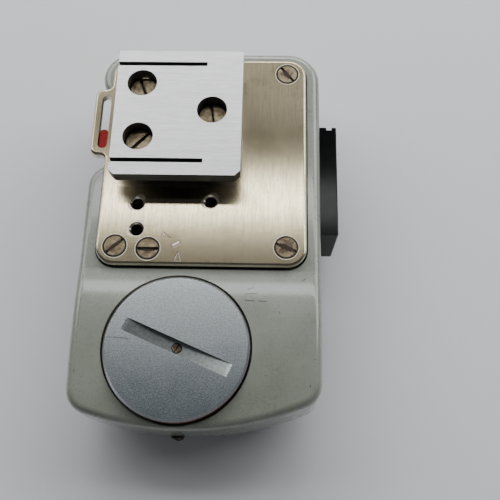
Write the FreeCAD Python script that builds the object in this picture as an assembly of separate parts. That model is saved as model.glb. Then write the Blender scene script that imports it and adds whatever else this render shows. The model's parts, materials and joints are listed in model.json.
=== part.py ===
"""Clip-on selenium light meter, lying on its dial face with the accessory-shoe foot upwards.

Millimetres, +Z up. Z = 0 is the flat window face that the meter rests on, and the underside with the
base plate, the shoe foot and the coupling disc faces +Z. +Y runs from the dial end to the meter end,
and +X is the side that carries the photocell. The origin is under the centre of the bounding box.
"""
import FreeCAD
import Part
import math
import os

from FreeCAD import Vector

# ---- driving dimensions --------------------------------------------------------------------------
CASE_LEFT, CASE_RIGHT = -16.85, 14.40        # side walls
CASE_TOP, CASE_END = 26.85, -26.25           # flat end and the apex of the bowed end
CASE_END_RADIUS, CASE_END_X = 40.0, -2.75    # bow of the dial end
WALL = 1.2
DIAL_DECK = 4.0                              # height of the sunken deck that carries the dial
RIM = 13.53                                  # underside level around the base plate
EDGE_RADIUS = 1.1
CROWN_RADIUS, CROWN_Y, CROWN_TOP = 54.0, -13.23, 13.967
CROWN_START = CROWN_Y + math.sqrt(CROWN_RADIUS ** 2 - (CROWN_RADIUS - CROWN_TOP + RIM) ** 2)

PLATE_X, PLATE_Y = (-14.65, 12.49), (-6.08, 24.90)
PLATE_BOTTOM, PLATE_TOP, PLATE_CORNER = 13.4, 14.4, 2.5
PLATE_GAP = 0.18
EAR_Y, EAR_SLOT_X, EAR_SLOT_Y, EAR_SLOT_WIDTH = (9.52, 19.95), -15.17, (10.55, 18.75), 1.3
NOTCH_Y, NOTCH_FLOOR, LOBE_RADIUS = (8.75, 19.9), -13.0, 4.05

FOOT_X, FOOT_Y, FOOT_TOP = (-12.90, 3.88), (4.40, 23.00), 18.9
FOOT_FLANGE, FOOT_NECK = 1.8, 12.4
FOOT_PAIR_X, FOOT_SINGLE_X, FOOT_HOLE_Y, FOOT_PAIR_OFFSET = -9.5, -0.05, 13.93, 4.03
SPARE_SHIFT = 11.1                           # the spare foot position is this far towards the dial
SPARE_LONE_HOLE = (-9.65, 2.45)
FOOT_SLIT_WIDTH, FOOT_SLIT_LENGTH, FOOT_SLIT_OFFSET = 0.6, 11.95, 7.25
COUNTERBORE_RADIUS, COUNTERBORE_DEPTH = 1.98, 2.5

PLATE_SCREWS = [(9.85, 22.54), (9.85, -3.48), (-12.15, -3.58), (-12.15, 22.54)]
ZERO_X, ZERO_Y = -7.86, -3.87                # zero-adjusting screw

DIAL_X, DIAL_Y = -3.5, -16.52                # common axis of the coupling disc and the dial
DISC_RADIUS, DISC_TOP, DISC_RIM = 9.05, 14.15, 0.5
WELL_RADIUS, WELL_FLOOR = 9.33, 11.2
GROOVE_LENGTH, GROOVE_WIDTH, GROOVE_DEPTH, GROOVE_ANGLE = 14.4, 1.7, 0.95, -23.1
SHAFT_RADIUS, SHAFT_CLEARANCE = 1.7, 0.05
BUSH_RADIUS, BUSH_BOSS = 2.8, 4.2
SPEED_RING_RADIUS, SPEED_RING_TOP, SPEED_RING_BACK = 8.6, 0.6, 3.2
KNURLS = 64

CELL_Y, CELL_Z, CELL_FACE = (-0.5, 15.8), (3.3, 11.4), 16.85
CELL_APERTURE_Y, CELL_APERTURE_Z = (1.1, 14.2), (4.7, 10.0)

AXIS_X, AXIS_Y = -3.0, 4.6                   # pivot axis of the moving coil
POST_REACH = 7.8                             # posts stand this far each side of the pivot axis
NEEDLE_REST = -30.0                          # needle angle from +Y when no light falls on the cell
ECCENTRIC, PIN_RADIUS, FORK_CLEARANCE = 0.55, 0.35, 0.06      # zero screw's pin and the lever's fork
STOP_REACH, STOP_RADIUS, STOP_LOW, STOP_RIB = 7.3, 0.4, 2.5, 1.6    # dial's stop pin and the rib it meets
LOCK_SCREW_Z, LOCK_SCREW_RADIUS = 5.9, 0.6
SEAL_REACH, SEAL_BULGE, SEAL_HEIGHT = 1.1, 0.62, 0.85       # half-sizes of the sealing lacquer

BRIDGE_FRONT, BRIDGE_REAR = (4.0, 4.7), (11.3, 12.0)
COIL_Z, COIL_REACH = (5.6, 10.75), 4.4
WINDOW_X, WINDOW_Y = (-10.9, 4.9), (12.0, 20.4)
SCALE_X, SCALE_Y, SCALE_FRONT = (-11.7, 5.8), (10.6, 20.2), 3.2
SCALE_SCREW_X, SCALE_SCREW_Y = (-8.2, 2.4), 22.2
TANG_SLIT_Y, TANG_SLIT_Z = (11.1, 18.5), (10.8, 12.1)        # opening in the notch for the knob's tang
BOARD_X, BOARD_Y, BOARD_Z = (3.4, 12.3), (-21.0, -9.4), (8.6, 9.5)
BOARD_SCREW_X, BOARD_SCREW_Y = 11.0, (-19.6, -10.8)

SCREW_HEAD, SCREW_SHANK, TAPPED = 1.4, 0.72, 0.75
FIT = 0.02                                   # gap left between pieces pressed or glued together
UP = Vector(0, 0, 1)


# ---- small helpers -------------------------------------------------------------------------------
def box(x, y, z):
    """A block between two limits on each axis."""
    return Part.makeBox(x[1] - x[0], y[1] - y[0], z[1] - z[0], Vector(x[0], y[0], z[0]))


def rod(x, y, radius, z0, z1):
    """A vertical cylinder."""
    return Part.makeCylinder(radius, z1 - z0, Vector(x, y, z0), UP)


def tube(x, y, outer, inner, z0, z1):
    return rod(x, y, outer, z0, z1).cut(rod(x, y, inner, z0 - 1, z1 + 1))


def rounded_block(x, y, z, radius):
    """A block whose four vertical edges are rounded."""
    block = box(x, y, z)
    return block.makeFillet(radius, [e for e in block.Edges if is_vertical(e)])


def is_vertical(edge):
    a, b = edge.Vertexes[0].Point, edge.Vertexes[-1].Point
    return abs(a.x - b.x) < 1e-4 and abs(a.y - b.y) < 1e-4 and abs(a.z - b.z) > 1e-3


def vertical_edges_at(shape, x, y, reach=0.2):
    found = []
    for edge in shape.Edges:
        if is_vertical(edge):
            p = edge.Vertexes[0].Point
            if math.hypot(p.x - x, p.y - y) < reach:
                found.append(edge)
    return found


def edges_at_height(shape, z, reach=0.02):
    return [e for e in shape.Edges if all(abs(v.Point.z - z) < reach for v in e.Vertexes)
            and abs(e.BoundBox.ZLength) < reach]


def softened(shape, radius, edges):
    """The shape with those edges rounded, or as it was if the kernel refuses."""
    try:
        rounded = shape.makeFillet(radius, edges)
        if rounded.isValid() and rounded.Volume > 0:
            return rounded
    except Part.OCCError:
        pass
    print("edges left sharp:", len(edges), "radius", radius)
    return shape


def turned(shape, x, y, degrees):
    """A copy of the shape turned about the vertical line through x, y."""
    copy = shape.copy()
    copy.rotate(Vector(x, y, 0), UP, degrees)
    return copy


def fused(shapes):
    return shapes[0].fuse(shapes[1:]).removeSplitter()


def slotted_screw(x, y, head_radius, shank_radius, top, head_height, end, slot_angle):
    """A cheese-head screw with its head upwards: slotted, slightly broken edge, plain shank."""
    head = rod(x, y, head_radius, top - head_height, top)
    head = softened(head, 0.12, edges_at_height(head, top))
    slot_width, slot_depth = head_radius * 0.26, head_height * 0.5
    reach = head_radius + 0.5
    slot = box((x - reach, x + reach), (y - slot_width / 2, y + slot_width / 2),
               (top - slot_depth, top + 1))
    head = head.cut(turned(slot, x, y, slot_angle))
    return head.fuse(rod(x, y, shank_radius, end, top - head_height))


def flipped(shape, z):
    """A copy turned upside down about a horizontal line at height z, along X through its own middle."""
    copy = shape.copy()
    middle = copy.BoundBox.Center
    copy.rotate(Vector(middle.x, middle.y, z), Vector(1, 0, 0), 180)
    return copy


# ---- case ----------------------------------------------------------------------------------------
def bow(x):
    """Y of the bowed end wall at a given X."""
    return CASE_END + CASE_END_RADIUS - math.sqrt(CASE_END_RADIUS ** 2 - (x - CASE_END_X) ** 2)


def case_plan():
    """The case's plan as a face at Z = 0: bowed end, side notch, and a round lobe beside the notch."""
    lobe_x, lobe_y = CASE_LEFT + 0.5 + LOBE_RADIUS, CASE_TOP - LOBE_RADIUS
    drop = lobe_y - NOTCH_Y[1]
    lobe_start = Vector(lobe_x - math.sqrt(LOBE_RADIUS ** 2 - drop ** 2), NOTCH_Y[1], 0)
    lobe_side, lobe_end = Vector(lobe_x - LOBE_RADIUS, lobe_y, 0), Vector(lobe_x, CASE_TOP, 0)
    corners = [Vector(CASE_RIGHT, CASE_TOP, 0), Vector(CASE_RIGHT, bow(CASE_RIGHT), 0),
               Vector(CASE_LEFT, bow(CASE_LEFT), 0), Vector(CASE_LEFT, NOTCH_Y[0], 0),
               Vector(NOTCH_FLOOR, NOTCH_Y[0], 0), Vector(NOTCH_FLOOR, NOTCH_Y[1], 0), lobe_start]
    edges = [Part.LineSegment(lobe_end, corners[0]).toShape(),
             Part.LineSegment(corners[0], corners[1]).toShape(),
             Part.Arc(corners[1], Vector(CASE_END_X, CASE_END, 0), corners[2]).toShape()]
    edges += [Part.LineSegment(p, q).toShape() for p, q in zip(corners[2:], corners[3:])]
    edges.append(Part.Arc(lobe_start, lobe_side, lobe_end).toShape())
    prism = Part.Face(Part.Wire(edges)).extrude(Vector(0, 0, 1))
    for corner, radius in zip(corners, (4.5, 3.0, 3.0, 3.0, 0.8, 0.8, 1.3)):
        prism = prism.makeFillet(radius, vertical_edges_at(prism, corner.x, corner.y))
    return next(f for f in prism.Faces if f.BoundBox.ZMax < 0.01)


def case_prism(inset, z0, z1):
    """The case's plan, moved inwards by inset, as a prism between two heights."""
    outline = case_plan().OuterWire
    if inset > 0:
        outline = outline.makeOffset2D(-inset)
    prism = Part.Face(outline).extrude(Vector(0, 0, z1 - z0))
    prism.translate(Vector(0, 0, z0))
    return prism


def underside_waste():
    """Everything above the underside's surface: flat beside the plate, then a gentle crown."""
    back, front, high = CASE_TOP + 5, CASE_END - 5, 30.0

    def crown(y):
        return Vector(0, y, CROWN_TOP - CROWN_RADIUS + math.sqrt(CROWN_RADIUS ** 2 - (y - CROWN_Y) ** 2))

    start = crown(CROWN_START)
    ring = [crown(front), Vector(0, front, high), Vector(0, back, high), Vector(0, back, RIM), start]
    edges = [Part.LineSegment(p, q).toShape() for p, q in zip(ring, ring[1:])]
    edges.append(Part.Arc(start, crown((CROWN_START + front) / 2), crown(front)).toShape())
    face = Part.Face(Part.Wire(edges))
    face.translate(Vector(-40, 0, 0))
    return face.extrude(Vector(80, 0, 0))


def plate_outline(gap, z0, z1, ear=True):
    """The base plate's plan, grown by gap, with the slotted ear's outline if asked."""
    x, y = (PLATE_X[0] - gap, PLATE_X[1] + gap), (PLATE_Y[0] - gap, PLATE_Y[1] + gap)
    plate = rounded_block(x, y, (z0, z1), PLATE_CORNER + gap)
    if not ear:
        return plate
    root = 0.8
    tab = box((CASE_LEFT - gap, PLATE_X[0] + 3), (EAR_Y[0] - gap, EAR_Y[1] + gap), (z0, z1))
    plate = plate.fuse(tab).removeSplitter()
    for edge_y in (EAR_Y[0] - gap, EAR_Y[1] + gap):
        plate = plate.makeFillet(1.2, vertical_edges_at(plate, CASE_LEFT - gap, edge_y))
        plate = plate.makeFillet(root, vertical_edges_at(plate, x[0], edge_y))
    return plate


def outer_case():
    """The outside of the case as one solid, edges rounded, before it is hollowed."""
    body = case_prism(0, DIAL_DECK, 16)
    block = case_prism(0, 0, DIAL_DECK + 1)
    dial_side = box((-40, 40), (-60, -9.6), (-1, DIAL_DECK)).fuse(rod(DIAL_X, DIAL_Y, 10.9, -1, DIAL_DECK))
    body = fused([body, block.cut(dial_side)])
    body = body.cut(underside_waste())
    face_edges = edges_at_height(body, 0)
    body = softened(body, 1.0, face_edges)
    deck_edges = [e for e in edges_at_height(body, DIAL_DECK) if e.BoundBox.YMin < -20]
    body = softened(body, 1.0, deck_edges)
    top_edges = [e for e in body.Edges if e.BoundBox.ZMin > 11.0 and not is_vertical(e)
                 and not spans_case(e)]
    return softened(body, EDGE_RADIUS, top_edges)


def spans_case(edge):
    """True for the line where the flat part of the underside meets the crown."""
    box_ = edge.BoundBox
    return box_.YLength < 0.01 and abs(box_.Center.y - CROWN_START) < 0.05


def housing():
    """The painted casting: shell, screw columns, bearing boss, dial deck and window opening."""
    shell = outer_case()
    inner = case_prism(WALL, WALL, 16)
    deck = DIAL_DECK + WALL
    dial_room = box((-40, 40), (-60, -9.6 + WALL), (0, deck)).fuse(rod(DIAL_X, DIAL_Y, 10.9 + WALL, 0, deck))
    lid = box((-40, 40), (-60, PLATE_Y[0] + 0.6), (10.2, 20)).fuse(box((-40, 40), (-60, 60), (12.4, 20)))
    shell = shell.cut(inner.cut(dial_room).cut(lid))
    mouth = plate_outline(PLATE_GAP, 12.3, 16, ear=False).common(inner)
    shell = shell.cut(mouth)
    shell = shell.cut(plate_outline(PLATE_GAP, PLATE_BOTTOM, 16))
    columns = [rod(x, y, 2.1, 0.8, PLATE_BOTTOM) for x, y in PLATE_SCREWS]
    posts = [rod(AXIS_X + side * POST_REACH, AXIS_Y, 1.7, 0.8, 4.0) for side in (-1, 1)]
    posts += [rod(x, SCALE_SCREW_Y, 1.3, 0.8, SCALE_FRONT) for x in SCALE_SCREW_X]
    boss = rod(DIAL_X, DIAL_Y, BUSH_BOSS, DIAL_DECK + 0.4, WELL_FLOOR - 0.3)
    shell = fused([shell] + [c.common(case_prism(0.3, 0, 16)) for c in columns] + posts + [boss])
    cuts = [rod(DIAL_X, DIAL_Y, WELL_RADIUS, WELL_FLOOR, 20), rod(DIAL_X, DIAL_Y, BUSH_RADIUS + FIT, 0, 20)]
    cuts += [rod(x, y, TAPPED, 7.0, 16) for x, y in PLATE_SCREWS]
    cuts += [rod(AXIS_X + side * POST_REACH, AXIS_Y, 0.6, 1.6, 5) for side in (-1, 1)]
    cuts += [rod(x, SCALE_SCREW_Y, 0.5, 1.4, 5) for x in SCALE_SCREW_X]
    cuts.append(rounded_block(WINDOW_X, WINDOW_Y, (-1, 1.6), 1.2))
    cuts.append(box((13, 16), (0.25, 15.05), (4.05, 10.65)))
    cuts.append(box((NOTCH_FLOOR - 1, NOTCH_FLOOR + 2), TANG_SLIT_Y, TANG_SLIT_Z))
    cuts.append(lock_screw_hole())
    cuts.append(rod(DIAL_X, DIAL_Y + STOP_REACH, STOP_RADIUS + FIT, 3, DIAL_DECK + 0.8))
    cuts += [rod(BOARD_SCREW_X, y, 0.52, 4.5, 6) for y in BOARD_SCREW_Y]
    for cut in cuts:
        shell = shell.cut(cut)
    return shell


# ---- base plate, foot and their screws -----------------------------------------------------------
def foot_holes():
    return [(FOOT_PAIR_X, FOOT_HOLE_Y + FOOT_PAIR_OFFSET), (FOOT_PAIR_X, FOOT_HOLE_Y - FOOT_PAIR_OFFSET),
            (FOOT_SINGLE_X, FOOT_HOLE_Y)]


def spare_holes():
    return [(x, y - SPARE_SHIFT) for x, y in foot_holes()] + [SPARE_LONE_HOLE]


def base_plate():
    plate = plate_outline(0, PLATE_BOTTOM, PLATE_TOP)
    plate = softened(plate, 0.42, edges_at_height(plate, PLATE_TOP))
    half = EAR_SLOT_WIDTH / 2
    slot = box((EAR_SLOT_X - half, EAR_SLOT_X + half), (EAR_SLOT_Y[0] + half, EAR_SLOT_Y[1] - half), (10, 16))
    ends = [rod(EAR_SLOT_X, EAR_SLOT_Y[0] + half, half, 10, 16),
            rod(EAR_SLOT_X, EAR_SLOT_Y[1] - half, half, 10, 16)]
    slot = fused([slot] + ends)
    plate = plate.cut(slot)
    seat = SCREW_HEAD + 0.1
    for x, y in PLATE_SCREWS + [(ZERO_X, ZERO_Y)]:
        plate = plate.cut(rod(x, y, 0.85, 10, 16)).cut(rod(x, y, seat, PLATE_TOP - 0.72, 16))
        plate = plate.cut(Part.makeCone(seat, seat + 0.3, 0.3, Vector(x, y, PLATE_TOP - 0.15), UP))
    for x, y in foot_holes() + spare_holes():
        plate = plate.cut(rod(x, y, TAPPED, 10, 16))
    for x, y in spare_holes():
        plate = plate.cut(Part.makeCone(TAPPED, TAPPED + 0.5, 0.5, Vector(x, y, PLATE_TOP - 0.25), UP))
    return plate


def plate_screws():
    angles = [128, -22, 42, 15]
    return Part.makeCompound([slotted_screw(x, y, SCREW_HEAD, SCREW_SHANK, PLATE_TOP + 0.02, 0.74, 8.0, a)
                              for (x, y), a in zip(PLATE_SCREWS, angles)])


def shoe_foot():
    """T-shaped foot: flange with chamfered corners, sprung side strips, three counterbores."""
    flange = box(FOOT_X, FOOT_Y, (FOOT_TOP - FOOT_FLANGE, FOOT_TOP))
    for edge_y, size in zip(FOOT_Y, (0.7, 0.15)):
        corners = [e for e in flange.Edges if is_vertical(e) and abs(e.Vertexes[0].Y - edge_y) < 0.01]
        flange = flange.makeChamfer(size, corners)
    middle = sum(FOOT_Y) / 2
    neck = box(FOOT_X, (middle - FOOT_NECK / 2, middle + FOOT_NECK / 2), (PLATE_TOP, FOOT_TOP - 0.5))
    foot = fused([flange, neck])
    for side in (-1, 1):
        y = middle + side * FOOT_SLIT_OFFSET
        slit = (y - FOOT_SLIT_WIDTH / 2, y + FOOT_SLIT_WIDTH / 2)
        foot = foot.cut(box((FOOT_X[0] - 1, FOOT_X[0] + FOOT_SLIT_LENGTH), slit, (14, 20)))
    for x, y in foot_holes():
        foot = foot.cut(rod(x, y, 0.85, 10, 20))
        foot = foot.cut(rod(x, y, COUNTERBORE_RADIUS, FOOT_TOP - COUNTERBORE_DEPTH, 20))
    return foot


def foot_screws():
    angles = [-68, 47, -80]
    top = FOOT_TOP - 1.6
    return Part.makeCompound([slotted_screw(x, y, 1.82, SCREW_SHANK, top, 0.9, PLATE_BOTTOM + 0.05, a)
                              for (x, y), a in zip(foot_holes(), angles)])


# ---- zero adjustment -----------------------------------------------------------------------------


def lever_direction():
    """Unit vector from the coil's pivot axis to the zero-adjusting screw."""
    return Vector(ZERO_X - AXIS_X, ZERO_Y - AXIS_Y, 0).normalize()


def zero_screw():
    """Slotted screw in the base plate with an eccentric pin under it, offset towards the pivot."""
    screw = slotted_screw(ZERO_X, ZERO_Y, SCREW_HEAD, 0.8, PLATE_TOP + 0.02, 0.74, 12.9, 0)
    offset = lever_direction() * -ECCENTRIC
    flange = rod(ZERO_X, ZERO_Y, 1.15, 12.75, 13.3)
    pin = rod(ZERO_X + offset.x, ZERO_Y + offset.y, PIN_RADIUS, 11.9, 12.9)
    return fused([screw, flange, pin])


def zero_lever():
    """Regulator lever: ring round the rear bridge's boss, arm, fork for the pin, hairspring stud."""
    along = lever_direction()
    length = math.hypot(ZERO_X - AXIS_X, ZERO_Y - AXIS_Y)
    angle = math.degrees(math.atan2(along.y, along.x))
    low, high = 12.12, 12.42
    ring = rod(AXIS_X, AXIS_Y, 2.2, low, high)
    arm = box((AXIS_X, AXIS_X + length + 0.2), (AXIS_Y - 0.5, AXIS_Y + 0.5), (low, high))
    head = box((AXIS_X + length - 2.0, AXIS_X + length + 0.4), (AXIS_Y - 1.1, AXIS_Y + 1.1), (low, high))
    gap = PIN_RADIUS + FORK_CLEARANCE
    fork = box((AXIS_X + length - 1.35, AXIS_X + length + 2), (AXIS_Y - gap, AXIS_Y + gap), (10, 14))
    stud = rod(AXIS_X + 2.75, AXIS_Y, 0.25, 11.0, high)
    lever = fused([ring, arm, head]).cut(fork).cut(rod(AXIS_X, AXIS_Y, 1.25, 10, 14))
    return turned(fused([lever, stud]), AXIS_X, AXIS_Y, angle)


# ---- coupling disc and dial ----------------------------------------------------------------------
def coupling_disc():
    """Thin rim over a thicker boss, with a groove whose floor is an arc, deepest in the middle."""
    rim = rod(DIAL_X, DIAL_Y, DISC_RADIUS, DISC_TOP - DISC_RIM, DISC_TOP)
    rim = rim.makeChamfer(0.28, edges_at_height(rim, DISC_TOP))
    disc = fused([rim, rod(DIAL_X, DIAL_Y, 7.6, WELL_FLOOR + 0.35, DISC_TOP - DISC_RIM)])
    half = GROOVE_LENGTH / 2
    sweep = (half ** 2 + GROOVE_DEPTH ** 2) / (2 * GROOVE_DEPTH)
    centre = Vector(DIAL_X, DIAL_Y - GROOVE_WIDTH / 2, DISC_TOP - GROOVE_DEPTH + sweep)
    cutter = Part.makeCylinder(sweep, GROOVE_WIDTH, centre, Vector(0, 1, 0))
    disc = disc.cut(turned(cutter, DIAL_X, DIAL_Y, GROOVE_ANGLE))
    disc = disc.cut(rod(DIAL_X, DIAL_Y, SHAFT_RADIUS + FIT, 10, 12.3))
    floor = DISC_TOP - GROOVE_DEPTH
    return disc.cut(rod(DIAL_X, DIAL_Y, 0.5, 10, 16)).cut(rod(DIAL_X, DIAL_Y, 0.68, floor - 0.35, 16))


def disc_screw():
    """Small screw at the bottom of the groove that holds the disc on the shaft."""
    floor = DISC_TOP - GROOVE_DEPTH
    return slotted_screw(DIAL_X, DIAL_Y, 0.6, 0.48, floor + 0.05, 0.4, 10.0, 60)


def disc_tyre():
    return tube(DIAL_X, DIAL_Y, DISC_RADIUS - 0.05, 7.6 + FIT, WELL_FLOOR + 0.4, DISC_TOP - DISC_RIM)


def thrust_washer():
    return tube(DIAL_X, DIAL_Y, 5.6, BUSH_RADIUS + 0.05, WELL_FLOOR, WELL_FLOOR + 0.33)


def dial_bush():
    bush = fused([rod(DIAL_X, DIAL_Y, BUSH_RADIUS, DIAL_DECK, WELL_FLOOR),
                  rod(DIAL_X, DIAL_Y, 4.0, DIAL_DECK - 0.4, DIAL_DECK)])
    return bush.cut(rod(DIAL_X, DIAL_Y, SHAFT_RADIUS + SHAFT_CLEARANCE, 0, 20))


def dial_shaft():
    shaft = rod(DIAL_X, DIAL_Y, SHAFT_RADIUS, 1.3, 12.3)
    return shaft.cut(rod(DIAL_X, DIAL_Y, 0.9, 0, 5.5)).cut(rod(DIAL_X, DIAL_Y, 0.5, 9.5, 14))


def aperture_ring():
    """Flat scale ring fixed to the deck round the dial."""
    ring = tube(DIAL_X, DIAL_Y, 9.2, 4.1, DIAL_DECK - 0.4, DIAL_DECK)
    return ring.cut(rod(DIAL_X, DIAL_Y + STOP_REACH, STOP_RADIUS + FIT, 0, 5))


def disc_spring():
    """Dished spring washer between the bush's flange and the speed ring."""
    r0, r1, low, high, thick = 1.9, 3.7, SPEED_RING_BACK + 0.01, DIAL_DECK - 0.41, 0.12
    points = [Vector(r0, 0, low), Vector(r1, 0, high - thick), Vector(r1, 0, high),
              Vector(r0, 0, low + thick), Vector(r0, 0, low)]
    spring = Part.Face(Part.makePolygon(points)).revolve(Vector(0, 0, 0), UP, 360)
    spring.translate(Vector(DIAL_X, DIAL_Y, 0))
    return spring


def stop_pin():
    """Pin in the deck; the speed ring's track ends at a rib on each side of it."""
    return rod(DIAL_X, DIAL_Y + STOP_REACH, STOP_RADIUS, STOP_LOW, DIAL_DECK + 0.8)


def speed_ring():
    """Knurled ring on the shaft: recess in front for the film disc, ribbed track behind for the stop."""
    points = []
    for n in range(KNURLS):
        for share, radius in ((0.0, SPEED_RING_RADIUS - 0.3), (0.3, SPEED_RING_RADIUS),
                              (0.7, SPEED_RING_RADIUS)):
            angle = 2 * math.pi * (n + share) / KNURLS
            points.append(Vector(DIAL_X + radius * math.cos(angle), DIAL_Y + radius * math.sin(angle), 1.2))
    points.append(points[0])
    grip = Part.Face(Part.makePolygon(points)).extrude(Vector(0, 0, 1.7))
    body = rod(DIAL_X, DIAL_Y, SPEED_RING_RADIUS - 0.35, SPEED_RING_TOP, SPEED_RING_BACK)
    body = softened(body, 0.25, edges_at_height(body, SPEED_RING_TOP))
    ring = fused([grip, body])
    ring = ring.cut(rod(DIAL_X, DIAL_Y, 6.2, 0, 1.3))
    ring = ring.cut(rod(DIAL_X, DIAL_Y, SHAFT_RADIUS + FIT, 0, 5))
    reach = STOP_RADIUS + 0.12
    track = tube(DIAL_X, DIAL_Y, STOP_REACH + reach, STOP_REACH - reach, STOP_LOW - 0.1, 5)
    rib = box((-STOP_RIB / 2, STOP_RIB / 2), (-12, 0), (0, 10))
    rib.translate(Vector(DIAL_X, DIAL_Y, 0))
    return ring.cut(track.cut(rib))


def film_disc():
    """Film-speed disc that turns in the speed ring's recess, with two finger bumps."""
    disc = rod(DIAL_X, DIAL_Y, 6.1, 0.5, 1.25)
    disc = softened(disc, 0.2, edges_at_height(disc, 0.5))
    bump = rounded_block((DIAL_X + 2.9, DIAL_X + 3.7), (DIAL_Y - 1.1, DIAL_Y + 1.1), (0.2, 0.6), 0.35)
    disc = fused([disc] + [turned(bump, DIAL_X, DIAL_Y, angle) for angle in (90, 270)])
    return disc.cut(rod(DIAL_X, DIAL_Y, 0.95, 0, 5)).cut(rod(DIAL_X, DIAL_Y, 1.85, 0, 0.95))


def dial_screw():
    """Shouldered screw that keeps the film disc in the speed ring."""
    screw = slotted_screw(DIAL_X, DIAL_Y, 1.8, 0.88, 10.0, 0.6, 6.0, 25)
    screw = flipped(screw, 8.0)
    screw.translate(Vector(0, 0, 0.33 - screw.BoundBox.ZMin))
    return screw


def lock_screw_hole():
    end = Vector(DIAL_X, CASE_END - 2, LOCK_SCREW_Z)
    return Part.makeCylinder(LOCK_SCREW_RADIUS + 0.02, 9.5, end, Vector(0, 1, 0))


def bush_lock_screw():
    """Grub screw through the end wall that locks the bush."""
    start, stop = bow(DIAL_X) + 0.35, DIAL_Y - BUSH_RADIUS - FIT
    end = Vector(DIAL_X, start, LOCK_SCREW_Z)
    screw = Part.makeCylinder(LOCK_SCREW_RADIUS, stop - start, end, Vector(0, 1, 0))
    slot_z = (LOCK_SCREW_Z - 0.12, LOCK_SCREW_Z + 0.12)
    return screw.cut(box((DIAL_X - 1, DIAL_X + 1), (start - 1, start + 0.4), slot_z))


def seal_lacquer():
    """Blob of sealing lacquer over the grub screw."""
    wall = bow(DIAL_X)
    squash = FreeCAD.Matrix()
    squash.scale(SEAL_REACH, SEAL_BULGE, SEAL_HEIGHT)
    blob = Part.makeSphere(1.0).transformGeometry(squash)
    blob.translate(Vector(DIAL_X, wall + 0.02, LOCK_SCREW_Z))
    outside = box((DIAL_X - 5, DIAL_X + 5), (wall - 5, wall), (0, 12))
    return blob.common(outside).cut(case_prism(0, 0, 16))


# ---- photocell -----------------------------------------------------------------------------------
def cell_frame():
    """Black bezel on the side wall with a tunnel for the cell and a keyway in its +Y end."""
    step, slant = CASE_RIGHT + 0.7, 0.3
    low, high = CELL_Z
    section = [(step, low), (CELL_FACE - slant, low), (CELL_FACE, high), (CASE_RIGHT, high),
               (CASE_RIGHT, low + 0.6), (step, low + 0.6), (step, low)]
    outline = Part.makePolygon([Vector(x, CELL_Y[0], z) for x, z in section])
    bezel = Part.Face(outline).extrude(Vector(0, CELL_Y[1] - CELL_Y[0], 0))
    bezel = softened(bezel, 0.2, [e for e in bezel.Edges if e.BoundBox.XMin > CELL_FACE - slant - 0.01])
    stub = box((13.2, CASE_RIGHT + 0.5), (0.3, 15.0), (4.1, 10.6))
    frame = fused([bezel, stub])
    tunnel = rounded_block_x((12, CELL_FACE + 1), CELL_APERTURE_Y, CELL_APERTURE_Z, 0.6)
    keyway = box((15.45, 16.2), (CELL_Y[1] - 0.4, CELL_Y[1] + 1), (0, 20))
    return frame.cut(tunnel).cut(keyway)


def rounded_block_x(x, y, z, radius):
    """A block whose four edges along X are rounded."""
    block = box(x, y, z)
    along = [e for e in block.Edges if e.BoundBox.XLength > 0.9 * (x[1] - x[0])]
    return block.makeFillet(radius, along)


def inside_aperture(x, margin):
    return rounded_block_x(x, (CELL_APERTURE_Y[0] + margin, CELL_APERTURE_Y[1] - margin),
                           (CELL_APERTURE_Z[0] + margin, CELL_APERTURE_Z[1] - margin), 0.55)


def cell_backing():
    """Insulating board that closes the tunnel from inside and carries the cell."""
    return box((12.75, 13.2), (0.3, 15.0), (4.1, 10.6))


def cell_spring():
    """Bowed contact leaf behind the backing board."""
    leaf = box((12.45, 12.75), (6.4, 9.0), (5.4, 9.4))
    legs = [box((11.7, 12.75), (6.4, 9.0), (z, z + 0.25)) for z in (5.15, 9.4)]
    return fused([leaf] + legs)


# ---- moving-coil movement ------------------------------------------------------------------------


def bridge(z, boss):
    """Bar across the movement with rounded ends, screw holes and a boss for the jewel screw."""
    x = (AXIS_X - POST_REACH - 1.5, AXIS_X + POST_REACH + 1.5)
    bar = rounded_block(x, (AXIS_Y - 1.5, AXIS_Y + 1.5), z, 1.4)
    bar = fused([bar, rod(AXIS_X, AXIS_Y, 1.2, *boss)])
    for side in (-1, 1):
        bar = bar.cut(rod(AXIS_X + side * POST_REACH, AXIS_Y, 0.65, 0, 20))
    return bar.cut(rod(AXIS_X, AXIS_Y, 0.8 + FIT, 0, 20))


def front_bridge():
    stud = rod(AXIS_X + 2.75, AXIS_Y, 0.25, BRIDGE_FRONT[0] + 0.2, 5.42)
    return fused([bridge(BRIDGE_FRONT, (3.7, 4.5)), stud])


def rear_bridge():
    return bridge(BRIDGE_REAR, (11.5, 12.7))


def jewel(z0, z1, hole0, hole1):
    return rod(AXIS_X, AXIS_Y, 0.8, z0, z1).cut(rod(AXIS_X, AXIS_Y, 0.3, hole0, hole1))


def spacers():
    """Four sleeves: one on each side of the yoke's ears at both posts."""
    return Part.makeCompound([tube(AXIS_X + side * POST_REACH, AXIS_Y, 1.15, 0.65, z0, z1)
                              for side in (-1, 1) for z0, z1 in ((4.7, 7.4), (8.6, 11.3))])


def movement_screws():
    return Part.makeCompound([slotted_screw(AXIS_X + side * POST_REACH, AXIS_Y, 1.15, 0.58,
                                            12.6, 0.6, 1.8, 30) for side in (-1, 1)])


def yoke_ring():
    ring = tube(AXIS_X, AXIS_Y, 6.5, 4.95, 5.9, 10.1)
    ears = [box((AXIS_X + min(side * 6.0, side * 9.0), AXIS_X + max(side * 6.0, side * 9.0)),
                (AXIS_Y - 1.3, AXIS_Y + 1.3), (7.4, 8.6)) for side in (-1, 1)]
    yoke = fused([ring] + ears).cut(rod(AXIS_X, AXIS_Y, 4.95, 0, 20))
    for side in (-1, 1):
        yoke = yoke.cut(rod(AXIS_X + side * POST_REACH, AXIS_Y, 0.65, 0, 20))
    return yoke


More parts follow.
